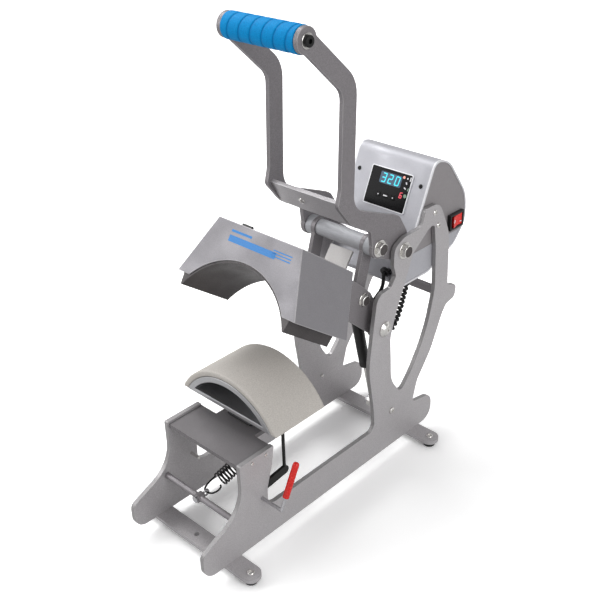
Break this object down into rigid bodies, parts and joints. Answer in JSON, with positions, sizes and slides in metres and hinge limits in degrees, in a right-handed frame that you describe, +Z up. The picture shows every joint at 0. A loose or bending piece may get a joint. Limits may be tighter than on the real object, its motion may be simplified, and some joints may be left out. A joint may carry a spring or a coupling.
{
  "type": "cap heat press",
  "caption": "Bench heat press with a curved heated head over a curved platen, closed by a toggle handle and timed by a small control housing.",
  "frame": {"origin": "middle of the rectangle round the part, on the surface that its rubber feet stand on", "axes": "+X to the operator's right, +Y from the front of the press to its rear, +Z up"},
  "size_m": [0.224, 0.516, 0.6318],
  "materials": {
    "frame_paint": "satin silver-grey hammer paint",
    "frame_paint_dark": "satin silver-grey hammer paint",
    "arm_paint": "satin grey paint",
    "cover_paint": "satin silver-grey paint",
    "case_paint": "satin light grey paint",
    "heater": "non-stick dark grey coating",
    "platen": "cast, satin",
    "pad": "silicone foam, matt",
    "blanket": "woven glass fibre",
    "bright_steel": "bright zinc plate",
    "plain_steel": "turned, satin",
    "black_steel": "black oxide",
    "black_rubber": "matt",
    "black_plastic": "fine matt",
    "display_black": "gloss black",
    "key_plastic": "matt",
    "board_green": "solder mask",
    "grip_blue": "ribbed grip wrap",
    "lever_red": "dipped vinyl",
    "rocker_red": "translucent red"
  },
  "bodies": {
    "frame": {"side_plate_left": "frame_paint_dark", "side_plate_right": "frame_paint", "front_foot_bar": "frame_paint", "rear_foot_bar": "frame_paint", "rubber_feet": "black_rubber", "foot_bolts": "plain_steel", "shelf_plate": "frame_paint_dark", "frame_screws": "bright_steel", "spring_rod": "frame_paint_dark", "spring_eye": "plain_steel", "rear_tie_bar": "frame_paint_dark", "lower_tie_rod": "plain_steel", "handle_pivot_shaft": "plain_steel", "handle_pivot_spacers": "plain_steel", "head_pivot_pins": "plain_steel", "pivot_bolts": "bright_steel", "platen_post": "frame_paint_dark", "lower_platen": "platen", "platen_pad": "pad", "hold_down_spring": "black_steel", "housing_shell": "case_paint", "housing_ends": "arm_paint", "housing_screws": "plain_steel", "display_module": "display_black", "control_board": "board_green", "rocker_bezel": "black_plastic", "power_inlet": "black_plastic", "lead_holders": "black_rubber", "straight_lead": "black_rubber", "coiled_lead": "black_rubber"},
    "handle": {"handle_arm_left": "arm_paint", "handle_arm_right": "arm_paint", "handle_cross_plate": "arm_paint", "grip_tube": "plain_steel", "grip_wrap": "grip_blue", "handle_screws": "black_steel", "toggle_bolts": "bright_steel"},
    "head": {"head_arms": "arm_paint", "head_spacers": "plain_steel", "link_pins": "bright_steel", "head_cross_bars": "frame_paint_dark", "heater_studs": "plain_steel", "heater_plate": "heater", "heater_blanket": "blanket", "thermal_cutout": "black_plastic", "head_cover": "cover_paint", "cover_bracket": "case_paint", "heater_lead": "black_rubber"},
    "link": {"link_arms": "arm_paint", "toggle_tube": "plain_steel", "toggle_collars": "plain_steel"},
    "gas_rod": {"gas_rod": "plain_steel"},
    "gas_cylinder": {"gas_cylinder": "black_steel"},
    "hold_down": {"hold_down_rod": "plain_steel", "hold_down_yoke": "black_steel", "hold_down_grip": "lever_red"},
    "rocker": {"rocker": "rocker_red"},
    "key_left": {"key_left": "key_plastic"},
    "key_middle": {"key_middle": "key_plastic"},
    "key_right": {"key_right": "key_plastic"}
  },
  "joints": [
    {"name": "handle_swing", "type": "hinge", "parent": "frame", "child": "handle", "pos_m": [0, 0.114, 0.316], "axis": [1, 0, 0], "range_deg": [0, 59.59]},
    {"name": "head_swing", "type": "hinge", "parent": "frame", "child": "head", "pos_m": [0, 0.077, 0.215], "axis": [1, 0, 0], "range_deg": [0, 36.51]},
    {"name": "link_turn", "type": "hinge", "parent": "head", "child": "link", "pos_m": [0, 0.052, 0.26375], "axis": [1, 0, 0], "range_deg": [-65.62, 0]},
    {"name": "gas_spring_swing", "type": "hinge", "parent": "frame", "child": "gas_rod", "pos_m": [0.034, 0.095, 0.074], "axis": [1, 0, 0], "range_deg": [0, 9.33]},
    {"name": "gas_spring_stroke", "type": "slide", "parent": "gas_rod", "child": "gas_cylinder", "axis": [0, -0.221, 0.9753], "range_m": [-0.0162, 0]},
    {"name": "hold_down_lift", "type": "hinge", "parent": "frame", "child": "hold_down", "pos_m": [0, -0.158, 0.0795], "axis": [1, 0, 0], "range_deg": [0, 20], "stiffness_Nm_per_rad": 0.6, "springref_deg": -22.92, "deforming": ["hold_down_spring"]},
    {"name": "power_rocker", "type": "hinge", "parent": "frame", "child": "rocker", "pos_m": [0.0615, 0.2316, 0.3168], "axis": [0, 0, 1], "range_deg": [-14, 0]},
    {"name": "key_left_press", "type": "slide", "parent": "frame", "child": "key_left", "axis": [0, 0.91, -0.4147], "range_m": [0, 0.0006], "stiffness_N_per_m": 300, "springref_m": -0.001},
    {"name": "key_middle_press", "type": "slide", "parent": "frame", "child": "key_middle", "axis": [0, 0.91, -0.4147], "range_m": [0, 0.0006], "stiffness_N_per_m": 300, "springref_m": -0.001},
    {"name": "key_right_press", "type": "slide", "parent": "frame", "child": "key_right", "axis": [0, 0.91, -0.4147], "range_m": [0, 0.0006], "stiffness_N_per_m": 300, "springref_m": -0.001}
  ],
  "couplings": [
    {"joint": "head_swing", "follows": "handle_swing", "ratio": 0.6125},
    {"joint": "link_turn", "follows": "handle_swing", "ratio": -1.1008},
    {"joint": "gas_spring_swing", "follows": "handle_swing", "ratio": 0.15642},
    {"joint": "gas_spring_stroke", "follows": "handle_swing", "m_per_rad": -0.015525}
  ]
}
